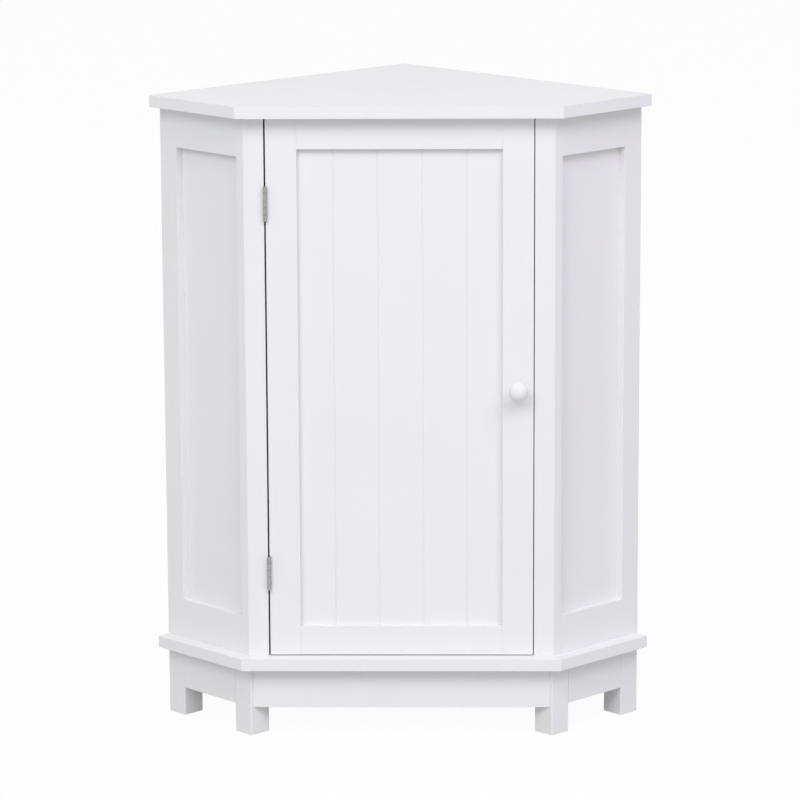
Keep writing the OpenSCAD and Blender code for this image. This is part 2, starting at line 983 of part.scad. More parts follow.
module catch_screws() {
  color(zinc) catch_screw_places() driven_screw(small_screw, catch_screw_l);
}

module upper_hinge_frame_leaf() {
  color(nickel) at_hinge(hinge_heights[0]) hinge_leaf(-1, 0);
}

module lower_hinge_frame_leaf() {
  color(nickel) at_hinge(hinge_heights[1]) hinge_leaf(-1, 0);
}

module upper_hinge_pin() {
  color(nickel) at_hinge(hinge_heights[0]) hinge_pin();
}

module lower_hinge_pin() {
  color(nickel) at_hinge(hinge_heights[1]) hinge_pin();
}

module frame_hinge_screws() {
  color(nickel) for (z = hinge_heights) {
    at_hinge(z) hinge_screw_places(-1) driven_screw(hinge_screw, hinge_screw_l);
  }
}

module upper_hinge_door_leaf() {
  color(nickel) at_hinge(hinge_heights[0]) hinge_leaf(1, 1);
}

module lower_hinge_door_leaf() {
  color(nickel) at_hinge(hinge_heights[1]) hinge_leaf(1, 1);
}

module door_hinge_screws() {
  color(nickel) for (z = hinge_heights) {
    at_hinge(z) hinge_screw_places(1) driven_screw(hinge_screw, hinge_screw_l);
  }
}

module door_left_stile() {
  color(paint) difference() {
    stile(door_left);
    hinge_seats();
    door_hinge_screw_holes();
  }
}

module door_right_stile() {
  color(paint) difference() {
    stile(door_right - stile_w);
    translate([knob_x, door_back_y, knob_z]) rotate([90, 0, 0]) {
      cylinder(d = knob_screw_d + 4 * knob_fit, h = 3 * door_t, center = true, $fn = 32);
    }
  }
}

module door_top_rail() {
  color(paint) door_rail(panel_high, door_high);
}

module door_bottom_rail() {
  color(paint) door_rail(door_low, panel_low);
}

// Door panel, scored with V shaped grooves into planks of equal width
module door_panel() {
  tongue = groove_depth - panel_edge_gap;
  planks_half = floor((panel_half - plank_groove_depth) / plank_w + 0.5);
  groove_side = plank_groove_depth * root2;
  panel_h = panel_high - panel_low + 2 * tongue;
  color(paint) difference() {
    translate([door_mid - panel_half - tongue, face_y + door_recess, panel_low - tongue]) {
      cube([2 * (panel_half + tongue), door_panel_t, panel_h]);
    }
    for (i = [0.5 - planks_half : 1 : planks_half - 0.5]) {
      translate([door_mid + i * plank_w, face_y + door_recess, (panel_low + panel_high) / 2]) {
        rotate([0, 0, 45]) cube([groove_side, groove_side, panel_h + 2 * cut], center = true);
      }
    }
  }
}

module door_dowels() {
  color(beech) door_dowel_places() dowel();
}

// Turned knob: a foot, a narrow neck and a mushroom head
module knob() {
  head = [for (a = [-60 : 10 : 80]) [
    knob_d / 2 * cos(a), knob_mid + (a < 0 ? knob_under_h : knob_dome_h) * sin(a)
  ]];
  foot = [
    [0, 0], [knob_foot_d / 2, 0], [knob_foot_d / 2, 1], [knob_neck_d / 2, knob_neck_low],
    [knob_neck_d / 2, knob_neck_high]
  ];
  color(paint) translate([knob_x, face_y, knob_z]) rotate([90, 0, 0]) difference() {
    rotate_extrude($fn = 64) polygon(concat(foot, head, [[0, knob_reach]]));
    translate([0, 0, -cut]) cylinder(d = knob_screw_d + 2 * knob_fit, h = knob_tap_l + cut, $fn = 32);
  }
}

module knob_screw() {
  color(zinc) knob_screw_place() difference() {
    union() {
      cylinder(d = knob_screw_head[0], h = knob_screw_head[1], $fn = 32);
      translate([0, 0, -knob_screw_l]) cylinder(d = knob_screw_d, h = knob_screw_l, $fn = 32);
    }
    translate([0, 0, knob_screw_head[1]]) cross_slot(knob_screw_head[0] / 2);
  }
}

module strike_plate() {
  color(zinc) difference() {
    translate([catch_x - strike_l / 2, door_back_y, strike_z - strike_h / 2]) {
      cube([strike_l, strike_t, strike_h]);
    }
    strike_screw_place() screw_hole(small_screw, strike_screw_l);
  }
}

module strike_screw() {
  color(zinc) strike_screw_place() driven_screw(small_screw, strike_screw_l);
}

top_panel();
base_board();
left_rear_post();
right_rear_post();
left_front_post();
right_front_post();
left_top_rail();
right_top_rail();
left_bottom_rail();
right_bottom_rail();
left_side_panel();
right_side_panel();
left_back_panel();
right_back_panel();
back_corner_post();
shelf();
shelf_pins();
front_left_leg();
front_right_leg();
rear_left_leg();
rear_right_leg();
back_corner_leg();
front_apron();
left_apron();
right_apron();
cam_bolts();
cam_discs();
side_frame_dowels();
carcass_dowels();
apron_dowels();
leg_screws();
back_nails();
catch_case();
catch_magnet();
catch_poles();
catch_screws();
upper_hinge_frame_leaf();
lower_hinge_frame_leaf();
upper_hinge_pin();
lower_hinge_pin();
frame_hinge_screws();
upper_hinge_door_leaf();
lower_hinge_door_leaf();
door_hinge_screws();
door_left_stile();
door_right_stile();
door_top_rail();
door_bottom_rail();
door_panel();
door_dowels();
knob();
knob_screw();
strike_plate();
strike_screw();
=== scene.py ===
import math

import bmesh
import bpy
from mathutils import Matrix, Vector


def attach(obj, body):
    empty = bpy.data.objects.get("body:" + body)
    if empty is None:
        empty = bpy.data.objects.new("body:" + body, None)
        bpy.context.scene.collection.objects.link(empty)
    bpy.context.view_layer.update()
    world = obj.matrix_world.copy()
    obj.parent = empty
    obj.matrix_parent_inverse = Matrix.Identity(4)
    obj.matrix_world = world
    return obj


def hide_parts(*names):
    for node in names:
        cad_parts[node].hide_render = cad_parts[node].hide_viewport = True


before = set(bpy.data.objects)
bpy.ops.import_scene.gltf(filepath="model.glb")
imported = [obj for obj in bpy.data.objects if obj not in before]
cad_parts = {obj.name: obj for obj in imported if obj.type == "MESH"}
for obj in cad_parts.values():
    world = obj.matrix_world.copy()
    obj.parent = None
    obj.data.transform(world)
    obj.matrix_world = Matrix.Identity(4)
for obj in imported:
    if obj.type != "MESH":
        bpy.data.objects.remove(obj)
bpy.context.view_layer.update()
print("frame loaded:", len(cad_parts), "nodes")

# Sizes that the pieces share
cabinet = {
    "height": 0.800,
    "board": 0.015,  # top and base boards
    "legHeight": 0.089,
    "wall": 0.445,  # room corner to the outer edge of the top, along each wall
    "sideDepth": 0.162,  # wall to the front end of the top's short side
    "sideOverhang": 0.0195,  # boards past the short sides
    "frontOverhang": 0.0185,  # boards past the door
    "knobReach": 0.026,
    "back": 0.003,
}
root2 = math.sqrt(2)
bodyWall = cabinet["wall"] - cabinet["sideOverhang"]
rearX = bodyWall / root2
edgeReach = (cabinet["wall"] + cabinet["sideDepth"]) / root2
faceReach = edgeReach - cabinet["frontOverhang"]
cornerY = (faceReach + cabinet["knobReach"]) / 2
rearY = cornerY - rearX
edgeY = cornerY - edgeReach
faceY = cornerY - faceReach
bodySide = faceReach * root2 - bodyWall
topLow = cabinet["height"] - cabinet["board"]
baseHigh = cabinet["legHeight"] + cabinet["board"]

# Side axes: local X runs out from the wall, local Y runs in from the frame's outer face
leftSide = Matrix((
    (1 / root2, 1 / root2, 0, -rearX),
    (-1 / root2, 1 / root2, 0, rearY),
    (0, 0, 1, 0),
    (0, 0, 0, 1),
))
mirrorX = Matrix.Diagonal((-1, 1, 1, 1))
upright = Matrix.Identity(4)
sides = {"left": leftSide, "right": mirrorX @ leftSide}
plans = {"left": upright, "right": mirrorX}  # for outlines drawn in the cabinet's own axes
# Turns an outline drawn in (Y, Z) so that it is drawn out along X
lengthwise = Matrix(((0, 0, 1, 0), (1, 0, 0, 0), (0, 1, 0, 0), (0, 0, 0, 1)))


def sideToPlan(out, deep):
    point = leftSide @ Vector((out, deep, 0))
    return point.x, point.y


def outAtY(deep, y):
    return deep + (rearY - y) * root2


def deepAtY(out, y):
    return out - (rearY - y) * root2


# Mesh tools
arcSteps = 3  # steps round a corner of an outline
rimSteps = 3  # faces across a softened rim
rimProfile = 0.5  # a rim whose section is part of a circle
overcut = 0.001  # how far a cutting solid stands out past the face that it cuts
roundSides = {"small": 24, "plain": 32, "bore": 48, "knob": 64}


def roundOutline(corners):
    # corners are (x, y, radius); each one with a radius becomes an arc
    points = []
    for i, (x, y, radius) in enumerate(corners):
        here = Vector((x, y))
        if not radius:
            points.append(here)
            continue
        back = (Vector(corners[i - 1][:2]) - here).normalized()
        ahead = (Vector(corners[(i + 1) % len(corners)][:2]) - here).normalized()
        half = back.angle(ahead) / 2
        centre = here + (back + ahead).normalized() * radius / math.sin(half)
        start = here + back * radius / math.tan(half) - centre
        finish = here + ahead * radius / math.tan(half) - centre
        turn = math.copysign(math.pi - 2 * half, start.x * finish.y - start.y * finish.x)
        for step in range(arcSteps + 1):
            angle = turn * step / arcSteps
            c, s = math.cos(angle), math.sin(angle)
            points.append(centre + Vector((start.x * c - start.y * s, start.x * s + start.y * c)))
    return points


def rectangle(xLow, xHigh, yLow, yHigh, radii=(0, 0, 0, 0)):
    # radii in the order low-low, high-low, high-high, low-high
    return [
        (xLow, yLow, radii[0]), (xHigh, yLow, radii[1]),
        (xHigh, yHigh, radii[2]), (xLow, yHigh, radii[3]),
    ]


def settle(mesh, solid, place):
    # puts one finished solid into a larger mesh
    bmesh.ops.transform(solid, matrix=place, verts=solid.verts)
    bmesh.ops.recalc_face_normals(solid, faces=solid.faces)
    carrier = bpy.data.meshes.new("carrier")
    solid.to_mesh(carrier)
    solid.free()
    mesh.from_mesh(carrier)
    bpy.data.meshes.remove(carrier)


def addPrism(mesh, corners, low, high, place=upright, rim=0.0):
    # outline drawn up from low to high, its two end rims softened
    outline = roundOutline(corners)
    solid = bmesh.new()
    rings = [[solid.verts.new((p.x, p.y, height)) for p in outline] for height in (low, high)]
    caps = [solid.faces.new(ring) for ring in rings]
    for i in range(len(outline)):
        j = (i + 1) % len(outline)
        solid.faces.new((rings[0][i], rings[0][j], rings[1][j], rings[1][i]))
    if rim:
        edges = [edge for cap in caps for edge in cap.edges]
        bmesh.ops.bevel(
            solid, geom=edges, offset=rim, offset_type="OFFSET", segments=rimSteps,
            profile=rimProfile, affect="EDGES", clamp_overlap=False,
        )
    settle(mesh, solid, place)


def addBrick(mesh, low, high, place=upright):
    addPrism(mesh, rectangle(low[0], high[0], low[1], high[1]), low[2], high[2], place)


def addTurned(mesh, profile, place=upright, count=roundSides["plain"]):
    # profile is (radius, height) from the bottom to the top, turned about local Z
    solid = bmesh.new()
    rings = []
    for radius, height in profile:
        if radius:
            angles = [2 * math.pi * i / count for i in range(count)]
            ring = [
                solid.verts.new((radius * math.cos(angle), radius * math.sin(angle), height))
                for angle in angles
            ]
        else:
            ring = [solid.verts.new((0, 0, height))]
        rings.append(ring)
    for lower, upper in zip(rings, rings[1:]):
        for i in range(count):
            j = (i + 1) % count
            corners = [
                lower[i % len(lower)], lower[j % len(lower)],
                upper[j % len(upper)], upper[i % len(upper)],
            ]
            solid.faces.new(list(dict.fromkeys(corners)))
    for ring in (rings[0], rings[-1]):
        if len(ring) > 1:
            solid.faces.new(ring)
    settle(mesh, solid, place)


def makeObject(name, mesh):
    data = bpy.data.meshes.new(name)
    mesh.to_mesh(data)
    mesh.free()
    piece = bpy.data.objects.new(name, data)
    bpy.context.scene.collection.objects.link(piece)
    return piece


def cutAway(piece, holes):
    # takes the solids in the mesh holes out of the piece
    cutter = makeObject("cutter", holes)
    change = piece.modifiers.new("cut", "BOOLEAN")
    change.operation = "DIFFERENCE"
    change.solver = "EXACT"
    change.object = cutter
    bpy.context.view_layer.update()
    graph = bpy.context.evaluated_depsgraph_get()
    done = bpy.data.meshes.new_from_object(piece.evaluated_get(graph))
    piece.modifiers.clear()
    piece.data = done
    bpy.data.meshes.remove(cutter.data)


def facing(point, direction):
    # place whose local Z points along direction
    turn = Vector(direction).to_track_quat("Z", "Y").to_matrix().to_4x4()
    return Matrix.Translation(point) @ turn


# Shader groups, built once
noiseLook = {
    "roughness": 0.55,
    "span": (0.3, 0.7),  # where most of the noise lies
    "skinPatches": 24.0,  # scale of the patches in which a skin's roughness changes
    "plateClouds": 160.0,  # scale of the clouds in plated metal
    "plateTone": (0.9, 1.08),
    "plateSwing": (-0.06, 0.08),  # change of roughness along the scratches
    "fibreStretch": 0.12,  # the smaller, the longer along Z
    "scratchStretch": 0.05,
}


def feed(tree, node, values):
    # sets each input to its value, or links it to another node's output
    for key, value in values.items():
        if isinstance(value, bpy.types.NodeSocket):
            tree.links.new(value, node.inputs[key])
        else:
            node.inputs[key].default_value = value


def addNode(tree, kind, values=None, **settings):
    made = tree.nodes.new(kind)
    for key, value in settings.items():
        setattr(made, key, value)
    feed(tree, made, values or {})
    return made


def startGroup(name, inputs, outputs):
    group = bpy.data.node_groups.new(name, "ShaderNodeTree")
    for label, kind, value in inputs:
        socket = group.interface.new_socket(name=label, in_out="INPUT", socket_type=kind)
        socket.default_value = value
    for label, kind in outputs:
        group.interface.new_socket(name=label, in_out="OUTPUT", socket_type=kind)
    entry = group.nodes.new("NodeGroupInput")
    leave = group.nodes.new("NodeGroupOutput")
    return group, entry, leave


def scaledNoise(tree, scale, stretch=1.0, detail=2.0):
    # noise in the object's own metres, drawn out along Z where stretch is small
    where = addNode(tree, "ShaderNodeTexCoord")
    spread = addNode(tree, "ShaderNodeMapping", {
        "Vector": where.outputs["Object"], "Scale": (1, 1, stretch),
    })
    return addNode(tree, "ShaderNodeTexNoise", {
        "Vector": spread.outputs["Vector"], "Scale": scale, "Detail": detail,
        "Roughness": noiseLook["roughness"],
    })


def mapped(tree, value, low, high):
    # maps the span of the noise to the range from low to high
    return addNode(tree, "ShaderNodeMapRange", {
        "Value": value, "From Min": noiseLook["span"][0], "From Max": noiseLook["span"][1],
        "To Min": low, "To Max": high,
    }).outputs["Result"]


def bothWays(tree, middle, swing):
    # the two ends of a range that reaches swing below and above its middle
    return [
        addNode(tree, "ShaderNodeMath", {0: middle, 1: swing}, operation=way).outputs[0]
        for way in ("SUBTRACT", "ADD")
    ]


def buildToneDrift():
    # slow change of tone over a painted or moulded surface
    group, entry, leave = startGroup(
        "toneDrift",
        [
            ("Color", "NodeSocketColor", (0.8, 0.8, 0.8, 1)),
            ("Drift", "NodeSocketFloat", 0.01),
            ("Scale", "NodeSocketFloat", 7.0),
        ],
        [("Color", "NodeSocketColor")],
    )
    slow = scaledNoise(group, entry.outputs["Scale"])
    low, high = bothWays(group, 1.0, entry.outputs["Drift"])
    value = mapped(group, slow.outputs["Fac"], low, high)
    tinted = addNode(group, "ShaderNodeHueSaturation", {
        "Color": entry.outputs["Color"], "Value": value,
    })
    group.links.new(tinted.outputs["Color"], leave.inputs["Color"])
    return group


def buildStipple():
    # fine skin of rolled paint or moulded plastic: its height, and a roughness that varies slowly
    group, entry, leave = startGroup(
        "stipple",
        [
            ("Scale", "NodeSocketFloat", 800.0),
            ("Roughness", "NodeSocketFloat", 0.4),
            ("Spread", "NodeSocketFloat", 0.04),
        ],
        [("Height", "NodeSocketFloat"), ("Roughness", "NodeSocketFloat")],
    )
    fine = scaledNoise(group, entry.outputs["Scale"], detail=3.0)
    broad = scaledNoise(group, noiseLook["skinPatches"])
    low, high = bothWays(group, entry.outputs["Roughness"], entry.outputs["Spread"])
    rough = mapped(group, broad.outputs["Fac"], low, high)
    group.links.new(fine.outputs["Fac"], leave.inputs["Height"])
    group.links.new(rough, leave.inputs["Roughness"])
    return group


def buildFibres():
    # long fibres or grain along Z: their colour and height
    group, entry, leave = startGroup(
        "fibres",
        [
            ("Scale", "NodeSocketFloat", 300.0),
            ("Light", "NodeSocketColor", (0.8, 0.8, 0.8, 1)),
            ("Dark", "NodeSocketColor", (0.6, 0.6, 0.6, 1)),
        ],
        [("Color", "NodeSocketColor"), ("Height", "NodeSocketFloat")],
    )
    long = scaledNoise(group, entry.outputs["Scale"], noiseLook["fibreStretch"], detail=4.0)
    share = mapped(group, long.outputs["Fac"], 0.0, 1.0)
    blend = addNode(group, "ShaderNodeMix", {
        "Factor": share, "A": entry.outputs["Dark"], "B": entry.outputs["Light"],
    }, data_type="RGBA")
    group.links.new(blend.outputs["Result"], leave.inputs["Color"])
    group.links.new(long.outputs["Fac"], leave.inputs["Height"])
    return group


def buildBrushed():
    # fine scratches along Z on plated metal: colour, roughness and height
    group, entry, leave = startGroup(
        "brushed",
        [
            ("Color", "NodeSocketColor", (0.6, 0.6, 0.6, 1)),
            ("Scale", "NodeSocketFloat", 2500.0),
            ("Roughness", "NodeSocketFloat", 0.3),
        ],
        [
            ("Color", "NodeSocketColor"),
            ("Roughness", "NodeSocketFloat"),
            ("Height", "NodeSocketFloat"),
        ],
    )
    lines = scaledNoise(group, entry.outputs["Scale"], noiseLook["scratchStretch"])
    cloud = scaledNoise(group, noiseLook["plateClouds"])
    value = mapped(group, cloud.outputs["Fac"], *noiseLook["plateTone"])
    tinted = addNode(group, "ShaderNodeHueSaturation", {
        "Color": entry.outputs["Color"], "Value": value,
    })
    swing = mapped(group, lines.outputs["Fac"], *noiseLook["plateSwing"])
    rough = addNode(group, "ShaderNodeMath", {
        0: entry.outputs["Roughness"], 1: swing,
    }, operation="ADD")
    group.links.new(tinted.outputs["Color"], leave.inputs["Color"])
    group.links.new(rough.outputs[0], leave.inputs["Roughness"])
    group.links.new(lines.outputs["Fac"], leave.inputs["Height"])
    return group


groups = {
    "toneDrift": buildToneDrift(),
    "stipple": buildStipple(),
    "fibres": buildFibres(),
    "brushed": buildBrushed(),
}
print("shader groups ready:", len(groups))


# Materials
def startMaterial(name, metallic=0.0):
    material = bpy.data.materials.new(name)
    material.use_nodes = True
    tree = material.node_tree
    shader = tree.nodes["Principled BSDF"]
    shader.inputs["Metallic"].default_value = metallic
    return material, tree, shader


def useGroup(tree, name, values):
    placed = tree.nodes.new("ShaderNodeGroup")
    placed.node_tree = groups[name]
    feed(tree, placed, values)
    return placed


def finishMaterial(tree, shader, color, roughness, height, look):
    # joins what the groups put out to the shader's own sockets
    bump = addNode(tree, "ShaderNodeBump", {
        "Height": height, "Strength": look["bump"], "Distance": look["depth"],
    })
    tree.links.new(color, shader.inputs["Base Color"])
    tree.links.new(roughness, shader.inputs["Roughness"])
    tree.links.new(bump.outputs["Normal"], shader.inputs["Normal"])


def skinMaterial(name, look):
    # painted or moulded surface: slow tone change over a fine stipple
    material, tree, shader = startMaterial(name)
    tone = useGroup(tree, "toneDrift", {
        "Color": look["color"], "Drift": look["drift"], "Scale": look["patch"],
    })
    skin = useGroup(tree, "stipple", {
        "Scale": look["grain"], "Roughness": look["roughness"], "Spread": look["spread"],
    })
    finishMaterial(
        tree, shader, tone.outputs["Color"], skin.outputs["Roughness"], skin.outputs["Height"], look,
    )
    return material


def fibreMaterial(name, look):
    # bare wood or board: fibres, with the slow tone change over them
    material, tree, shader = startMaterial(name)
    grain = useGroup(tree, "fibres", {
        "Scale": look["grain"], "Light": look["light"], "Dark": look["dark"],
    })
    tone = useGroup(tree, "toneDrift", {
        "Color": grain.outputs["Color"], "Drift": look["drift"], "Scale": look["patch"],
    })
    skin = useGroup(tree, "stipple", {
        "Scale": look["grain"], "Roughness": look["roughness"], "Spread": look["spread"],
    })
    finishMaterial(
        tree, shader, tone.outputs["Color"], skin.outputs["Roughness"], grain.outputs["Height"], look,
    )
    return material


def metalMaterial(name, look):
    material, tree, shader = startMaterial(name, metallic=1.0)
    metal = useGroup(tree, "brushed", {
        "Color": look["color"], "Scale": look["grain"], "Roughness": look["roughness"],
    })
    finishMaterial(
        tree, shader, metal.outputs["Color"], metal.outputs["Roughness"], metal.outputs["Height"], look,
    )
    return material


satinPaint = skinMaterial("satinPaint", {
    "color": (0.828, 0.828, 0.832, 1), "drift": 0.008, "patch": 7.0, "grain": 850.0,
    "roughness": 0.42, "spread": 0.04, "bump": 0.35, "depth": 0.00006,
})
# darker copy of the satin paint: painted shade that tones down the knob's lit top; its higher roughness
# spreads the highlight
knobShadedPaint = skinMaterial("knobShadedPaint", {
    "color": (0.80, 0.80, 0.805, 1), "drift": 0.006, "patch": 60.0, "grain": 1400.0,
    "roughness": 0.72, "spread": 0.04, "bump": 0.3, "depth": 0.00004,
})
whiteBack = fibreMaterial("whiteBack", {
    "light": (0.66, 0.66, 0.65, 1), "dark": (0.58, 0.58, 0.56, 1), "drift": 0.02, "patch": 9.0,
    "grain": 420.0, "roughness": 0.6, "spread": 0.05, "bump": 0.3, "depth": 0.00005,
})
beechWood = fibreMaterial("beechWood", {
    "light": (0.62, 0.41, 0.20, 1), "dark": (0.46, 0.28, 0.12, 1), "drift": 0.05, "patch": 40.0,
    "grain": 500.0, "roughness": 0.55, "spread": 0.05, "bump": 0.4, "depth": 0.00008,
})
satinNickel = metalMaterial("satinNickel", {
    "color": (0.41, 0.40, 0.375, 1), "grain": 2600.0, "roughness": 0.25,
    "bump": 0.2, "depth": 0.00002,
})
platedZinc = metalMaterial("platedZinc", {
    "color": (0.60, 0.62, 0.65, 1), "grain": 1800.0, "roughness": 0.38,
    "bump": 0.25, "depth": 0.00003,
})
catchPlastic = skinMaterial("catchPlastic", {
    "color": (0.76, 0.76, 0.73, 1), "drift": 0.01, "patch": 60.0, "grain": 2200.0,
    "roughness": 0.45, "spread": 0.03, "bump": 0.3, "depth": 0.00003,
})
ferriteBlock = skinMaterial("ferriteBlock", {
    "color": (0.045, 0.045, 0.052, 1), "drift": 0.12, "patch": 900.0, "grain": 3000.0,
    "roughness": 0.68, "spread": 0.08, "bump": 0.5, "depth": 0.00004,
})
print("materials ready")

# Camera at the photograph's viewing angle: metres, degrees and millimetres
view = {
    "place": (0.0816, -4.9136, 1.4343),
    "turn": (78.0156, 0.2486, 0.9411),
    "lens": 175.484,
    "sensor": 36.0,
    "nearest": 0.1,
    "farthest": 100.0,
}
cameraData = bpy.data.cameras.new("photoCamera")
cameraData.lens = view["lens"]
cameraData.sensor_width = view["sensor"]
cameraData.clip_start = view["nearest"]
cameraData.clip_end = view["farthest"]
camera = bpy.data.objects.new("photoCamera", cameraData)
camera.location = view["place"]
camera.rotation_euler = [math.radians(angle) for angle in view["turn"]]
bpy.context.scene.collection.objects.link(camera)
bpy.context.scene.camera = camera

# Broad soft lamps round the middle of the cabinet: degrees above the floor, degrees to the
# right of the front, degrees across, and the light and tint that reach the cabinet
lampDistance = 8.0
lampAim = Vector((0, 0, 0.45))
lamps = {
    "leftLamp": {
        "height": 35, "right": -25, "size": 28, "light": 0.95, "color": (0.99, 1.012, 1.0),
    },
    "rightLamp": {
        "height": 41, "right": 36, "size": 28, "light": 0.85, "color": (1.0, 0.95, 1.10),
    },
    "highLamp": {
        "height": 50, "right": 4, "size": 26, "light": 0.34, "color": (1.0, 0.95, 1.10),
    },
}


def hangLamp(name, setting):
    data = bpy.data.lights.new(name, "AREA")
    data.shape = "DISK"
    data.size = 2 * lampDistance * math.tan(math.radians(setting["size"] / 2))
    data.energy = setting["light"] * math.pi * lampDistance ** 2
    data.color = setting["color"]
    lamp = bpy.data.objects.new(name, data)
    height = math.radians(setting["height"])
    right = math.radians(setting["right"])
    towards = Vector((
        math.cos(height) * math.sin(right),
        -math.cos(height) * math.cos(right),
        math.sin(height),
    ))
    lamp.rotation_mode = "QUATERNION"
    lamp.rotation_quaternion = towards.to_track_quat("Z", "Y")
    lamp.location = lampAim + towards * lampDistance
    bpy.context.scene.collection.objects.link(lamp)


for name, setting in lamps.items():
    hangLamp(name, setting)

# Floor and background: the cabinet is lit by the dim pair, ambient and floorBounce, and
# the camera and reflections see the white pair, backdrop and floorGlow
studio = {
    "ambient": 0.525, "backdrop": 0.99,
    "floorBounce": 0.62, "floorShade": 0.04, "floorGlow": 0.953,
    "floorHalf": 30.0,
    "floorDrop": 0.0002,  # keeps the floor clear of the legs' undersides
}


def grey(level):
    return level, level, level, 1


def seenRays(tree):
    # 1 where the camera, a reflection or a clear surface looks at the floor or the background
    path = addNode(tree, "ShaderNodeLightPath")
    either = addNode(tree, "ShaderNodeMath", {
        0: path.outputs["Is Camera Ray"], 1: path.outputs["Is Glossy Ray"],
    }, operation="MAXIMUM")
    return addNode(tree, "ShaderNodeMath", {
        0: either.outputs[0], 1: path.outputs["Is Transmission Ray"],
    }, operation="MAXIMUM").outputs[0]


world = bpy.data.worlds.new("studio")
bpy.context.scene.world = world
world.use_nodes = True
tree = world.node_tree
tree.nodes.clear()
soft = addNode(tree, "ShaderNodeBackground", {"Color": grey(1), "Strength": studio["ambient"]})
white = addNode(tree, "ShaderNodeBackground", {"Color": grey(1), "Strength": studio["backdrop"]})
choose = addNode(tree, "ShaderNodeMixShader", {
    0: seenRays(tree), 1: soft.outputs[0], 2: white.outputs[0],
})
addNode(tree, "ShaderNodeOutputWorld", {"Surface": choose.outputs[0]})

floorMesh = bmesh.new()
bmesh.ops.create_grid(floorMesh, x_segments=2, y_segments=2, size=studio["floorHalf"])
floor = makeObject("studioFloor", floorMesh)
floor.location = (0, 0, -studio["floorDrop"])
floorPaper = bpy.data.materials.new("floorPaper")
floorPaper.use_nodes = True
tree = floorPaper.node_tree
tree.nodes.clear()
bounce = addNode(tree, "ShaderNodeBsdfDiffuse", {"Color": grey(studio["floorBounce"])})
shade = addNode(tree, "ShaderNodeBsdfDiffuse", {"Color": grey(studio["floorShade"])})
glow = addNode(tree, "ShaderNodeEmission", {"Color": grey(1), "Strength": studio["floorGlow"]})
seen = addNode(tree, "ShaderNodeAddShader", {0: shade.outputs[0], 1: glow.outputs[0]})
choose = addNode(tree, "ShaderNodeMixShader", {
    0: seenRays(tree), 1: bounce.outputs[0], 2: seen.outputs[0],
})
addNode(tree, "ShaderNodeOutputMaterial", {"Surface": choose.outputs[0]})
floor.data.materials.append(floorPaper)
bpy.context.scene.view_settings.view_transform = "Standard"
print("camera, lamps, floor and background ready")

# Finishing of a new piece
sharpFrom = math.radians(40)  # edges that turn more than this stay crisp


def dress(piece, body, nodes, material):
    data = piece.data
    data.materials.clear()
    data.materials.append(material)
    data.shade_smooth()
    data.set_sharp_from_angle(angle=sharpFrom)
    even = piece.modifiers.new("evenShade", "WEIGHTED_NORMAL")
    even.keep_sharp = True
    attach(piece, body)
    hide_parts(*nodes)


def paintedPiece(name, body, node, mesh, holes=None):
    piece = makeObject(name, mesh)
    if holes:
        cutAway(piece, holes)
    dress(piece, body, [node], satinPaint)


# Legs and their screws, whose places the base board shares
legs = {
    "width": 0.0305,
    "forward": 0.0027,  # how far a front leg stands forward of its front post
    "screwInset": 0.0052,  # from a leg's inner faces
    "radius": 0.0016, "rim": 0.0008,
}
legScrew = {"head": 0.00355, "shank": 0.00205, "sink": 0.0015, "deep": 0.020}
legReach = bodySide + legs["forward"]
legScrewSpots = [
    (legs["width"] / 2, legs["width"] - legs["screwInset"]),
    (legReach - legs["width"] + legs["screwInset"], legs["width"] - legs["screwInset"]),
]

# Top and base boards
boards = {"backRadius": 0.0006, "endRadius": 0.0010, "rim": 0.0005}
wallEnd = sideToPlan(cabinet["back"], -cabinet["sideOverhang"])
frontEndX = sideToPlan(outAtY(-cabinet["sideOverhang"], edgeY), -cabinet["sideOverhang"])[0]
boardOutline = [
    (0, cornerY - cabinet["back"] * root2, boards["backRadius"]),
    (wallEnd[0], wallEnd[1], boards["endRadius"]),
    (frontEndX, edgeY, boards["endRadius"]),
    (-frontEndX, edgeY, boards["endRadius"]),
    (-wallEnd[0], wallEnd[1], boards["endRadius"]),
]

top = bmesh.new()
addPrism(top, boardOutline, topLow, cabinet["height"], rim=boards["rim"])
paintedPiece("topBoard", "carcass", "top_panel", top)

base = bmesh.new()
addPrism(base, boardOutline, cabinet["legHeight"], baseHigh, rim=boards["rim"])
holes = bmesh.new()
for place in sides.values():
    for out, deep in legScrewSpots:
        addTurned(holes, [
            (legScrew["shank"], -legScrew["deep"]), (legScrew["shank"], -legScrew["sink"]),
            (legScrew["head"], 0), (legScrew["head"], overcut),
        ], place @ Matrix.Translation((out, deep, baseHigh)))
paintedPiece("baseBoard", "carcass", "base_board", base, holes)
print("boards made")

# Side frames: posts, rails and panels of the two short sides
sideFrame = {
    "thick": 0.018, "rearPost": 0.0305, "topRail": 0.050, "bottomRail": 0.0495,
    "frontPostSide": 0.0128, "frontPostFace": 0.0249, "frontPostDepth": 0.0218,
    "recess": 0.010, "panel": 0.005, "groove": 0.007, "tongue": 0.006, "fit": 0.0001,
    "rebate": 0.012,  # takes the edge of a back panel
    "outerRadius": 0.0012, "openingRadius": 0.0010, "innerRadius": 0.0003, "rim": 0.00015,
}
postInner = bodySide - sideFrame["frontPostSide"]
postBackY = faceY + sideFrame["frontPostDepth"]
postBackX = sideToPlan(postInner, deepAtY(postInner, postBackY))[0]
openingHalf = (bodyWall - bodySide) / root2 - sideFrame["frontPostFace"]
panelLow = baseHigh + sideFrame["bottomRail"]
panelHigh = topLow - sideFrame["topRail"]
camBore = {"radius": 0.0075, "deep": 0.0121, "inset": 0.024}
railLength = postInner - sideFrame["rearPost"]
camSpots = [sideFrame["rearPost"] + railLength / 4, postInner - railLength / 4]

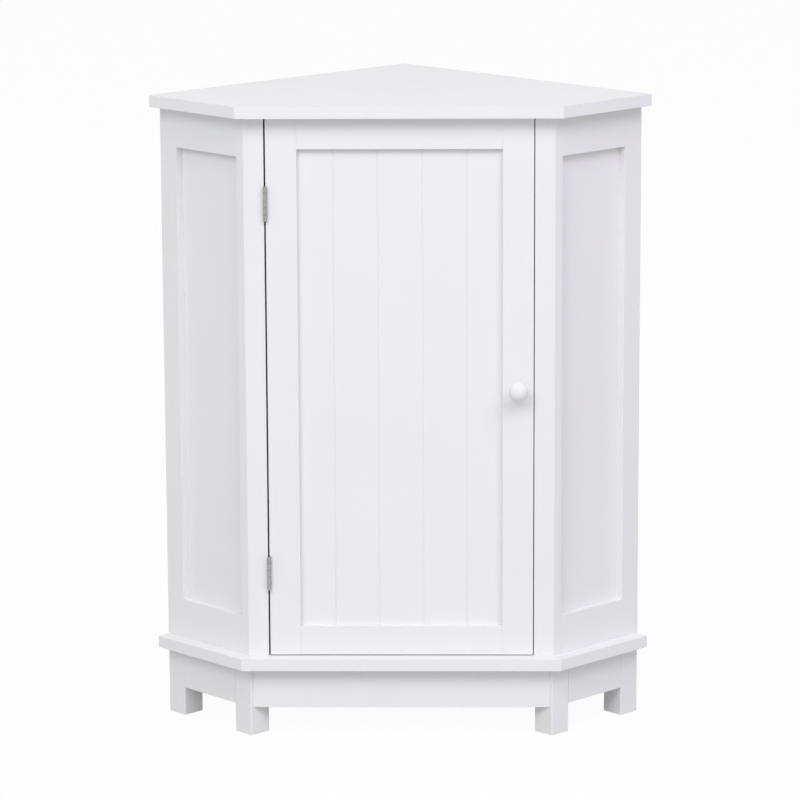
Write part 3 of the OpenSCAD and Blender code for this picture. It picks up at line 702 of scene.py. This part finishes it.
# The shelf's size and its pin holes, which the posts share
shelfSize = {"low": 0.437, "thick": 0.015, "gap": 0.0015, "radius": 0.0012, "rim": 0.0008}
shelfPins = {
    "hole": 0.00255, "deep": 0.0075, "rows": (-0.050, 0.0, 0.050),
    "drop": 0.0035,  # from the shelf's underside to the middle of a pin
    "rearShare": 0.6,  # where the holes stand across a rear post
}
pinHeight = shelfSize["low"] - shelfPins["drop"]
frontPinX = (postBackX - openingHalf) / 2
cornerPost = {"depth": 0.028, "width": 0.026, "radius": 0.0006}
cornerPostY = cornerY - cornerPost["depth"]


def addGroove(holes, place):
    inward = sideFrame["groove"]
    panelBack = sideFrame["recess"] + sideFrame["panel"]
    addBrick(
        holes,
        (sideFrame["rearPost"] - inward, sideFrame["recess"] - sideFrame["fit"], panelLow - inward),
        (postInner + inward, panelBack + sideFrame["fit"], panelHigh + inward),
        place,
    )


def addPinHoles(holes, place, point, direction):
    # a column of holes for the shelf pins, sunk along direction from a face
    profile = [(shelfPins["hole"], -overcut), (shelfPins["hole"], shelfPins["deep"])]
    for row in shelfPins["rows"]:
        start = Vector((point[0], point[1], pinHeight + row))
        addTurned(holes, profile, place @ facing(start, direction), roundSides["small"])


def makeRearPost(side, place):
    outer, inner = sideFrame["outerRadius"], sideFrame["innerRadius"]
    width, thick = sideFrame["rearPost"], sideFrame["thick"]
    rebateEdge = thick - sideFrame["rebate"]
    post = bmesh.new()
    addPrism(post, [
        (0, 0, outer), (width, 0, inner), (width, thick, inner),
        (cabinet["back"], thick, inner), (cabinet["back"], rebateEdge, 0), (0, rebateEdge, inner),
    ], baseHigh, topLow, place, rim=sideFrame["rim"])
    holes = bmesh.new()
    addGroove(holes, place)
    addPinHoles(holes, place, (shelfPins["rearShare"] * width, thick), (0, -1, 0))
    paintedPiece(side + "RearPost", "carcass", side + "_rear_post", post, holes)


def makeFrontPost(side, place):
    inner = sideFrame["innerRadius"]
    faceEndX = sideToPlan(outAtY(0, faceY), 0)[0]
    sideEnd = sideToPlan(postInner, 0)
    post = bmesh.new()
    addPrism(post, [
        (faceEndX, faceY, sideFrame["outerRadius"]),
        (-openingHalf, faceY, sideFrame["openingRadius"]),
        (-openingHalf, postBackY, inner),
        (postBackX, postBackY, inner),
        (sideEnd[0], sideEnd[1], inner),
    ], baseHigh, topLow, plans[side], rim=sideFrame["rim"])
    holes = bmesh.new()
    addGroove(holes, place)
    addPinHoles(holes, plans[side], (frontPinX, postBackY), (0, -1, 0))
    paintedPiece(side + "FrontPost", "carcass", side + "_front_post", post, holes)


def makeSideRail(side, place, level, low, high, camHeight):
    thick, inner = sideFrame["thick"], sideFrame["innerRadius"]
    section = rectangle(0, thick, low, high, (inner,) * 4)
    rail = bmesh.new()
    addPrism(
        rail, section, sideFrame["rearPost"], postInner, place @ lengthwise, rim=sideFrame["rim"],
    )
    holes = bmesh.new()
    addGroove(holes, place)
    profile = [(camBore["radius"], -overcut), (camBore["radius"], camBore["deep"])]
    for out in camSpots:
        start = place @ facing((out, thick, camHeight), (0, -1, 0))
        addTurned(holes, profile, start, roundSides["bore"])
    name = side + level.title() + "Rail"
    paintedPiece(name, "carcass", side + "_" + level + "_rail", rail, holes)


def makeSidePanel(side, place):
    tongue = sideFrame["tongue"]
    outline = rectangle(
        sideFrame["rearPost"] - tongue, postInner + tongue,
        sideFrame["recess"], sideFrame["recess"] + sideFrame["panel"],
        (sideFrame["innerRadius"],) * 4,
    )
    panel = bmesh.new()
    addPrism(panel, outline, panelLow - tongue, panelHigh + tongue, place, rim=sideFrame["rim"])
    paintedPiece(side + "SidePanel", "carcass", side + "_side_panel", panel)


for side, place in sides.items():
    makeRearPost(side, place)
    makeFrontPost(side, place)
    makeSideRail(side, place, "top", panelHigh, topLow, topLow - camBore["inset"])
    makeSideRail(side, place, "bottom", baseHigh, panelLow, baseHigh + camBore["inset"])
    makeSidePanel(side, place)
print("side frames made")

# Back panels with the nail heads sunk in, and the corner post that they are nailed to
backs = {
    "margin": 0.003, "radius": 0.0003, "rim": 0.0003,
    "nailHead": 0.00175, "nailSink": 0.00055,
    "nailEnd": 0.045,  # from the ends of a row of nails to what stands beside it
    "nailsUp": 4, "nailsAcross": 3,
}
cornerPostIn = bodyWall - cabinet["back"] - cornerPost["width"]


def spread(low, high, count):
    return [low + (high - low) * i / (count - 1) for i in range(count)]


def nailPlaces():
    # (deep, height): up both upright edges, then across the base and the top
    end = backs["nailEnd"]
    edgeDeeps = (
        sideFrame["thick"] - sideFrame["rebate"] / 2, cornerPostIn + cornerPost["width"] / 2,
    )
    boardHeights = (cabinet["legHeight"] + cabinet["board"] / 2, topLow + cabinet["board"] / 2)
    heights = spread(baseHigh + end, topLow - end, backs["nailsUp"])
    deeps = spread(sideFrame["thick"] + end, cornerPostIn - end, backs["nailsAcross"])
    alongEdges = [(deep, height) for deep in edgeDeeps for height in heights]
    alongBoards = [(deep, height) for deep in deeps for height in boardHeights]
    return alongEdges + alongBoards


def makeBackPanel(side, place, far):
    outline = rectangle(
        0, cabinet["back"], sideFrame["thick"] - sideFrame["rebate"], far, (backs["radius"],) * 4,
    )
    back = bmesh.new()
    addPrism(
        back, outline, cabinet["legHeight"] + backs["margin"], cabinet["height"] - backs["margin"],
        place, rim=backs["rim"],
    )
    holes = bmesh.new()
    profile = [(backs["nailHead"], -backs["nailSink"]), (backs["nailHead"], overcut)]
    for deep, height in nailPlaces():
        start = place @ facing((0, deep, height), (-1, 0, 0))
        addTurned(holes, profile, start, roundSides["small"])
    piece = makeObject(side + "BackPanel", back)
    cutAway(piece, holes)
    dress(piece, "carcass", [side + "_back_panel"], whiteBack)


def makeCornerPost():
    left = sideToPlan(cabinet["back"], cornerPostIn)
    slant = left[1] - cornerPostY
    radius = cornerPost["radius"]
    post = bmesh.new()
    addPrism(post, [
        (0, cornerY - cabinet["back"] * root2, radius),
        (left[0], left[1], radius), (left[0] + slant, cornerPostY, radius),
        (-left[0] - slant, cornerPostY, radius), (-left[0], left[1], radius),
    ], baseHigh, topLow, rim=sideFrame["rim"])
    holes = bmesh.new()
    addPinHoles(holes, upright, (0, cornerPostY), (0, 1, 0))
    paintedPiece("backCornerPost", "carcass", "back_corner_post", post, holes)


# One back laps over the edge of the other in the room corner
makeBackPanel("left", sides["left"], bodyWall)
makeBackPanel("right", sides["right"], bodyWall - cabinet["back"])
makeCornerPost()


# Shelf
def makeShelf():
    gap, radius = shelfSize["gap"], shelfSize["radius"]
    inset = sideFrame["thick"] + gap
    wallGap = cabinet["back"] + gap
    frontY = postBackY + gap
    backY = cornerPostY - gap
    side = sideToPlan(wallGap, inset)
    frontX = sideToPlan(outAtY(inset, frontY), inset)[0]
    backX = sideToPlan(wallGap, deepAtY(wallGap, backY))[0]
    shelf = bmesh.new()
    addPrism(shelf, [
        (backX, backY, radius), (side[0], side[1], radius), (frontX, frontY, radius),
        (-frontX, frontY, radius), (-side[0], side[1], radius), (-backX, backY, radius),
    ], shelfSize["low"], shelfSize["low"] + shelfSize["thick"], rim=shelfSize["rim"])
    paintedPiece("shelfBoard", "carcass", "shelf", shelf)


makeShelf()
print("backs, corner post and shelf made")

# Legs and aprons
aprons = {
    "height": 0.0525, "thick": 0.015, "setback": 0.0005,
    "radius": 0.0004, "backRadius": 0.0003, "endRim": 0.00015,
}
apronLow = cabinet["legHeight"] - aprons["height"]


def makeLeg(name, node, out, deep, place):
    width = legs["width"]
    leg = bmesh.new()
    outline = rectangle(out, out + width, deep, deep + width, (legs["radius"],) * 4)
    addPrism(leg, outline, 0, cabinet["legHeight"], place, rim=legs["rim"])
    paintedPiece(name, "carcass", node, leg)


def makeSideApron(side, place):
    radius, backRadius = aprons["radius"], aprons["backRadius"]
    section = rectangle(
        aprons["setback"], aprons["setback"] + aprons["thick"], apronLow, cabinet["legHeight"],
        (radius, radius, backRadius, backRadius),
    )
    apron = bmesh.new()
    addPrism(
        apron, section, legs["width"], legReach - legs["width"], place @ lengthwise,
        rim=aprons["endRim"],
    )
    paintedPiece(side + "Apron", "carcass", side + "_apron", apron)


def makeFrontApron():
    radius = aprons["backRadius"]
    nearY = faceY + aprons["setback"]
    farY = nearY + aprons["thick"]
    nearX = sideToPlan(legReach, deepAtY(legReach, nearY))[0]
    farX = sideToPlan(legReach, deepAtY(legReach, farY))[0]
    apron = bmesh.new()
    addPrism(apron, [
        (nearX, nearY, radius), (-nearX, nearY, radius),
        (-farX, farY, radius), (farX, farY, radius),
    ], apronLow, cabinet["legHeight"], rim=aprons["radius"])
    paintedPiece("frontApron", "carcass", "front_apron", apron)


for side, place in sides.items():
    frontOut = legReach - legs["width"]
    makeLeg("rear" + side.title() + "Leg", "rear_" + side + "_leg", 0, 0, place)
    makeLeg("front" + side.title() + "Leg", "front_" + side + "_leg", frontOut, 0, place)
    makeSideApron(side, place)
makeLeg("backCornerLeg", "back_corner_leg", 0, bodyWall - legs["width"], leftSide)
makeFrontApron()
print("legs and aprons made")

# Door
door = {
    "thick": 0.018, "stile": 0.0385, "topRail": 0.039, "bottomRail": 0.0375,
    "hingeGap": 0.0019, "freeGap": 0.0010, "endGap": 0.0010,
    "recess": 0.007, "panel": 0.006, "groove": 0.007, "tongue": 0.006, "fit": 0.0001,
    "planks": 5, "plank": 0.0549, "vee": 0.0011,
    "veeRadius": 0.0005, "panelRadius": 0.0002,
    "outerRadius": 0.0012, "innerRadius": 0.0004, "rim": 0.0008, "jointRim": 0.00015,
}
hinge = {
    "height": 0.0425, "inset": 0.106, "leaf": 0.0012, "width": 0.019,
    "knuckle": 0.0026, "proud": 0.0003, "seatGap": 0.0001,
}
doorLeft = -openingHalf + door["hingeGap"]
doorRight = openingHalf - door["freeGap"]
doorMid = (doorLeft + doorRight) / 2
doorLow = baseHigh + door["endGap"]
doorHigh = topLow - door["endGap"]
doorBack = faceY + door["thick"]
panelHalf = (doorRight - doorLeft) / 2 - door["stile"]
doorPanelLow = doorLow + door["bottomRail"]
doorPanelHigh = doorHigh - door["topRail"]
hingeY = faceY - hinge["knuckle"] - hinge["proud"]
hingeHeights = (doorHigh - hinge["inset"], doorLow + hinge["inset"])


def addDoorGroove(holes):
    reach = panelHalf + door["groove"]
    nearY = faceY + door["recess"] - door["fit"]
    farY = faceY + door["recess"] + door["panel"] + door["fit"]
    addBrick(
        holes,
        (doorMid - reach, nearY, doorPanelLow - door["groove"]),
        (doorMid + reach, farY, doorPanelHigh + door["groove"]),
    )


def addHingeSeat(holes, height):
    half = hinge["height"] / 2 + hinge["seatGap"]
    farY = hingeY + hinge["width"] + hinge["seatGap"]
    addBrick(
        holes,
        (doorLeft - overcut, faceY - overcut, height - half),
        (doorLeft + hinge["leaf"], farY, height + half),
    )


def makeStile(side, left, right, radii, seatHeights=()):
    # seatHeights are those of the hinge leaves that are let into the stile's edge
    stile = bmesh.new()
    outline = rectangle(left, right, faceY, doorBack, radii)
    addPrism(stile, outline, doorLow, doorHigh, rim=door["rim"])
    holes = bmesh.new()
    addDoorGroove(holes)
    for height in seatHeights:
        addHingeSeat(holes, height)
    name = "door" + side.title() + "Stile"
    paintedPiece(name, "door", "door_" + side + "_stile", stile, holes)


def makeDoorRail(level, low, high, radii):
    rail = bmesh.new()
    section = rectangle(faceY, doorBack, low, high, radii)
    left, right = doorMid - panelHalf, doorMid + panelHalf
    addPrism(rail, section, left, right, lengthwise, rim=door["jointRim"])
    holes = bmesh.new()
    addDoorGroove(holes)
    name = "door" + level.title() + "Rail"
    paintedPiece(name, "door", "door_" + level + "_rail", rail, holes)


def makeDoorPanel():
    # scored into planks: the outline's front runs through a V groove at each joint
    nearY = faceY + door["recess"]
    farY = nearY + door["panel"]
    reach = panelHalf + door["tongue"]
    vee, veeRadius, radius = door["vee"], door["veeRadius"], door["panelRadius"]
    outline = [(doorMid - reach, nearY, radius)]
    for joint in range(1, door["planks"]):
        x = doorMid + (joint - door["planks"] / 2) * door["plank"]
        outline += [
            (x - vee, nearY, veeRadius), (x, nearY + vee, veeRadius / 2), (x + vee, nearY, veeRadius),
        ]
    outline += [
        (doorMid + reach, nearY, radius),
        (doorMid + reach, farY, radius),
        (doorMid - reach, farY, radius),
    ]
    planks = bmesh.new()
    addPrism(planks, outline, doorPanelLow - door["tongue"], doorPanelHigh + door["tongue"])
    paintedPiece("doorPlanks", "door", "door_panel", planks)


outer, inner = door["outerRadius"], door["innerRadius"]
makeStile("left", doorLeft, doorLeft + door["stile"], (outer, inner, inner, outer), hingeHeights)
makeStile("right", doorRight - door["stile"], doorRight, (inner, outer, outer, inner))
makeDoorRail("top", doorPanelHigh, doorHigh, (inner, inner, outer, outer))
makeDoorRail("bottom", doorLow, doorPanelLow, (outer, outer, inner, inner))
makeDoorPanel()
print("door made")

# Knob: foot, neck and mushroom head, turned
knobLook = {
    "foot": 0.0065, "footRim": 0.0009, "footHigh": 0.0012, "softEdge": 0.0003,
    "neck": 0.005, "neckLow": 0.0035, "neckHigh": 0.0086,
    "hollowSteps": 8, "hollowInset": 0.0001,  # curve from the foot's rim into the neck
    "flareOut": 0.0003, "flareUp": 0.0007,  # the neck's top under the head
    "radius": 0.012, "dome": 0.010, "under": 0.007,
    "headFrom": -60, "headStep": 6,  # degrees round the head, from under it to its tip
}


def knobProfile():
    foot, neck, softEdge = knobLook["foot"], knobLook["neck"], knobLook["softEdge"]
    profile = [(0, 0), (foot - softEdge, 0), (foot, softEdge), (foot, knobLook["footRim"])]
    hollowFrom = foot - knobLook["hollowInset"]
    hollowRise = knobLook["neckLow"] - knobLook["footHigh"]
    for step in range(1, knobLook["hollowSteps"] + 1):
        angle = math.pi / 2 * step / knobLook["hollowSteps"]
        radius = hollowFrom - (hollowFrom - neck) * math.sin(angle)
        profile.append((radius, knobLook["footHigh"] + hollowRise * (1 - math.cos(angle))))
    neckHigh = knobLook["neckHigh"]
    profile += [(neck, neckHigh), (neck + knobLook["flareOut"], neckHigh + knobLook["flareUp"])]
    middle = cabinet["knobReach"] - knobLook["dome"]
    for step in range(knobLook["headFrom"], 90, knobLook["headStep"]):
        angle = math.radians(step)
        rise = knobLook["under"] if step < 0 else knobLook["dome"]
        profile.append((knobLook["radius"] * math.cos(angle), middle + rise * math.sin(angle)))
    return profile + [(0, cabinet["knobReach"])]


knobSpot = (doorRight - door["stile"] / 2, faceY, (doorLow + doorHigh) / 2)
knobMesh = bmesh.new()
addTurned(knobMesh, knobProfile(), facing(knobSpot, (0, -1, 0)), roundSides["knob"])
# the knob takes the darker copy of the paint, which is painted shade
dress(makeObject("roundKnob", knobMesh), "door", ["knob"], knobShadedPaint)
print("knob made")

# Hardware that keeps its CAD shape: its finish, and the width of its soft arrises
hardware = {
    "shelf_pins": (satinNickel, 0.0004),
    "cam_bolts": (platedZinc, 0.0003),
    "cam_discs": (platedZinc, 0.0003),
    "side_frame_dowels": (beechWood, 0.0006),
    "carcass_dowels": (beechWood, 0.0006),
    "apron_dowels": (beechWood, 0.0006),
    "door_dowels": (beechWood, 0.0006),
    "leg_screws": (platedZinc, 0.00015),
    "back_nails": (platedZinc, 0.0001),
    "catch_case": (catchPlastic, 0.0006),
    "catch_magnet": (ferriteBlock, 0.0002),
    "catch_poles": (platedZinc, 0.0002),
    "catch_screws": (platedZinc, 0.00012),
    "upper_hinge_frame_leaf": (satinNickel, 0.00018),
    "lower_hinge_frame_leaf": (satinNickel, 0.00018),
    "upper_hinge_door_leaf": (satinNickel, 0.00018),
    "lower_hinge_door_leaf": (satinNickel, 0.00018),
    "upper_hinge_pin": (satinNickel, 0.00025),
    "lower_hinge_pin": (satinNickel, 0.00025),
    "frame_hinge_screws": (satinNickel, 0.00012),
    "door_hinge_screws": (satinNickel, 0.00012),
    "knob_screw": (platedZinc, 0.0003),
    "strike_plate": (platedZinc, 0.0002),
    "strike_screw": (platedZinc, 0.00012),
}
softening = {"weld": 0.000005, "segments": 2}
for node, (material, width) in hardware.items():
    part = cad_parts[node]
    for holder in part.material_slots:
        holder.material = material
    weld = part.modifiers.new("weld", "WELD")
    weld.merge_threshold = softening["weld"]
    soften = part.modifiers.new("soften", "BEVEL")
    soften.width = width
    soften.segments = softening["segments"]
    soften.limit_method = "ANGLE"
    soften.angle_limit = sharpFrom
    part.modifiers.new("evenShade", "WEIGHTED_NORMAL")
print("hardware finished:", len(hardware))
